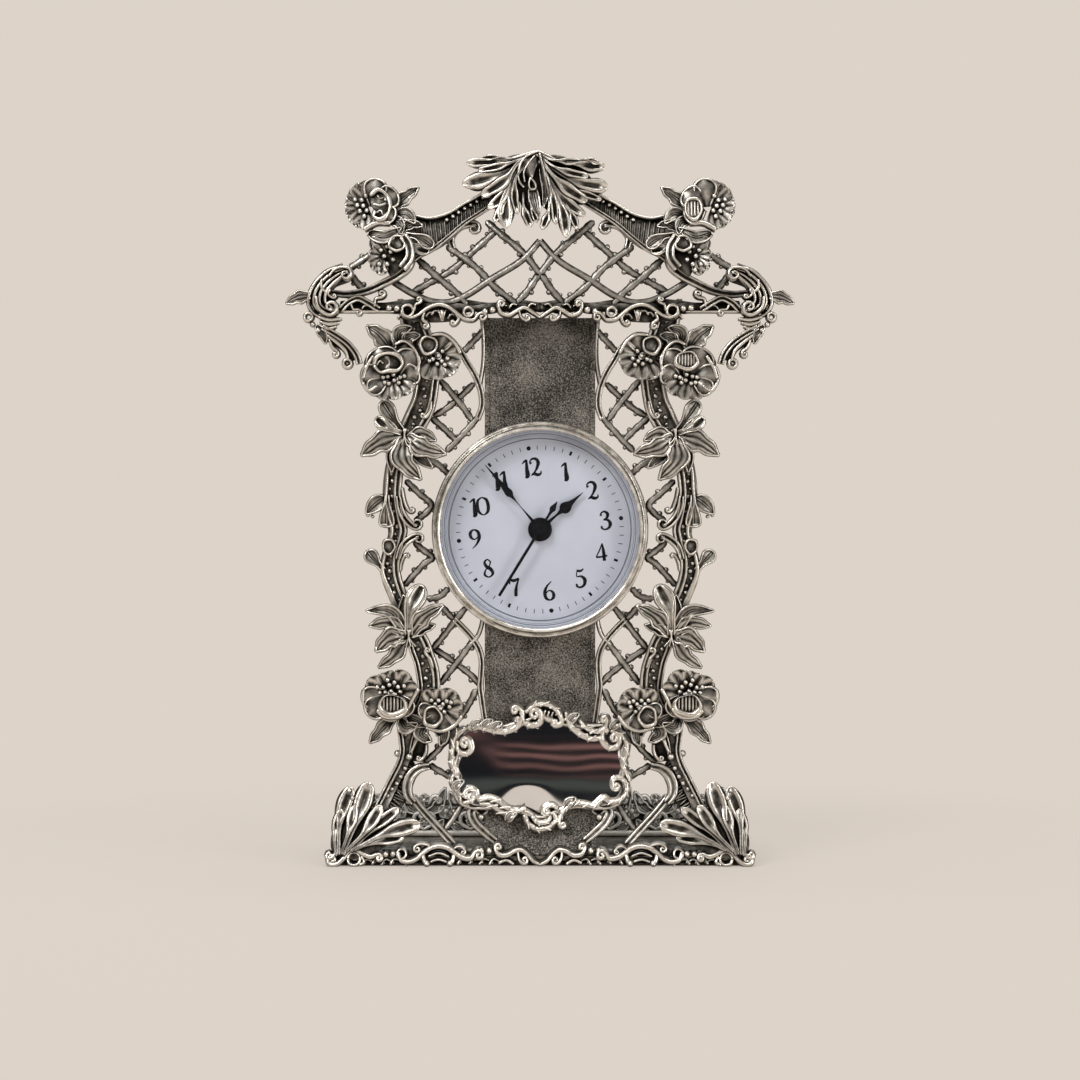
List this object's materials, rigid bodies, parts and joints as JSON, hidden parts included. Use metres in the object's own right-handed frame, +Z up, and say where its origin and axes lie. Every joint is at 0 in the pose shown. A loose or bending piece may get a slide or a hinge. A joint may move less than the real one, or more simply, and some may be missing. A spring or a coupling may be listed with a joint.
{
  "type": "table clock",
  "caption": "Openwork silvered table clock with a trellis and flower front, a leafy pediment, a framed plaque and a round push-in quartz insert.",
  "frame": {"origin": "middle of the underside of the base, where the clock stands", "axes": "+Z up, the dial faces -Y, +X to the right as the dial is read"},
  "size_m": [0.168, 0.0652, 0.2363],
  "materials": {
    "silver": "cast silvered metal with dark patina in the hollows",
    "stippled": "stippled and oxidised",
    "polished": "polished",
    "mirror": "mirror polished",
    "glass": "clear",
    "dial": "matt enamel with printed numbers",
    "black": "satin black",
    "case_plastic": "fine moulded grain",
    "wheel_plastic": "moulded",
    "rubber": "matt",
    "brass": "machined",
    "copper": "enamelled winding wire",
    "steel": "bright",
    "board": "solder mask",
    "cell": "printed sleeve, plain"
  },
  "bodies": {
    "casework": {"base_plate": "silver", "base_front_rail": "silver", "base_rear_gallery": "silver", "base_side_skirt_left": "silver", "base_side_skirt_right": "silver", "centre_panel": "stippled", "post_left": "silver", "post_right": "silver", "foot_trellis_left": "silver", "foot_trellis_right": "silver", "side_trellis_upper_left": "silver", "side_trellis_upper_right": "silver", "side_trellis_lower_left": "silver", "side_trellis_lower_right": "silver", "leaf_spray_upper_left": "silver", "leaf_spray_upper_right": "silver", "leaf_spray_lower_left": "silver", "leaf_spray_lower_right": "silver", "shoulder_flowers_left": "silver", "shoulder_flowers_right": "silver", "hip_flowers_left": "silver", "hip_flowers_right": "silver", "corner_acanthus_left": "silver", "corner_acanthus_right": "silver", "pediment_trellis": "silver", "pediment_rail": "silver", "pediment_crest": "silver", "pediment_arch_left": "silver", "pediment_arch_right": "silver", "pediment_roll_left": "silver", "pediment_roll_right": "silver", "pediment_flowers_left": "silver", "pediment_flowers_right": "silver", "plaque_plate": "mirror", "plaque_frame": "polished"},
    "insert": {"bezel": "polished", "lens": "glass", "reflector_ring": "polished", "dial": "dial", "movement_cup": "case_plastic", "rear_cover": "case_plastic", "grip_ring": "rubber", "circuit_board": "board", "motor_coil": "copper", "cell": "cell", "contact_negative": "steel", "contact_positive": "steel"},
    "seconds": {"second_wheel": "steel", "second_hand": "black"},
    "third": {"third_wheel": "wheel_plastic"},
    "centre": {"centre_wheel": "brass"},
    "minutes": {"cannon_pinion": "brass", "minute_hand": "black"},
    "setting": {"motion_wheel": "wheel_plastic", "time_knob": "case_plastic"},
    "hours": {"hour_wheel": "wheel_plastic", "hour_hand": "black"},
    "cell_door": {"cell_cover": "case_plastic"}
  },
  "joints": [
    {"name": "insert_pull", "type": "slide", "parent": "casework", "child": "insert", "axis": [0, -1, 0], "range_m": [0, 0.032]},
    {"name": "second_hand_turn", "type": "hinge", "parent": "insert", "child": "seconds", "pos_m": [0, -0.0159, 0.1105], "axis": [0, 1, 0], "continuous": true},
    {"name": "third_wheel_turn", "type": "hinge", "parent": "insert", "child": "third", "pos_m": [-0.00595, -0.0159, 0.11422], "axis": [0, 1, 0], "continuous": true},
    {"name": "centre_wheel_turn", "type": "hinge", "parent": "insert", "child": "centre", "pos_m": [0, -0.0159, 0.1105], "axis": [0, 1, 0], "continuous": true},
    {"name": "minute_hand_turn", "type": "hinge", "parent": "insert", "child": "minutes", "pos_m": [0, -0.0159, 0.1105], "axis": [0, 1, 0], "continuous": true},
    {"name": "time_knob_turn", "type": "hinge", "parent": "insert", "child": "setting", "pos_m": [0.00742, -0.0159, 0.11444], "axis": [0, 1, 0], "continuous": true},
    {"name": "hour_hand_turn", "type": "hinge", "parent": "insert", "child": "hours", "pos_m": [0, -0.0159, 0.1105], "axis": [0, 1, 0], "continuous": true},
    {"name": "cell_cover_slide", "type": "slide", "parent": "insert", "child": "cell_door", "axis": [0.1392, 0, -0.9903], "range_m": [0, 0.015]}
  ],
  "couplings": [
    {"joint": "third_wheel_turn", "follows": "second_hand_turn", "ratio": -0.13333},
    {"joint": "centre_wheel_turn", "follows": "second_hand_turn", "ratio": 0.016667},
    {"joint": "time_knob_turn", "follows": "minute_hand_turn", "ratio": -0.33333},
    {"joint": "hour_hand_turn", "follows": "minute_hand_turn", "ratio": 0.083333}
  ]
}
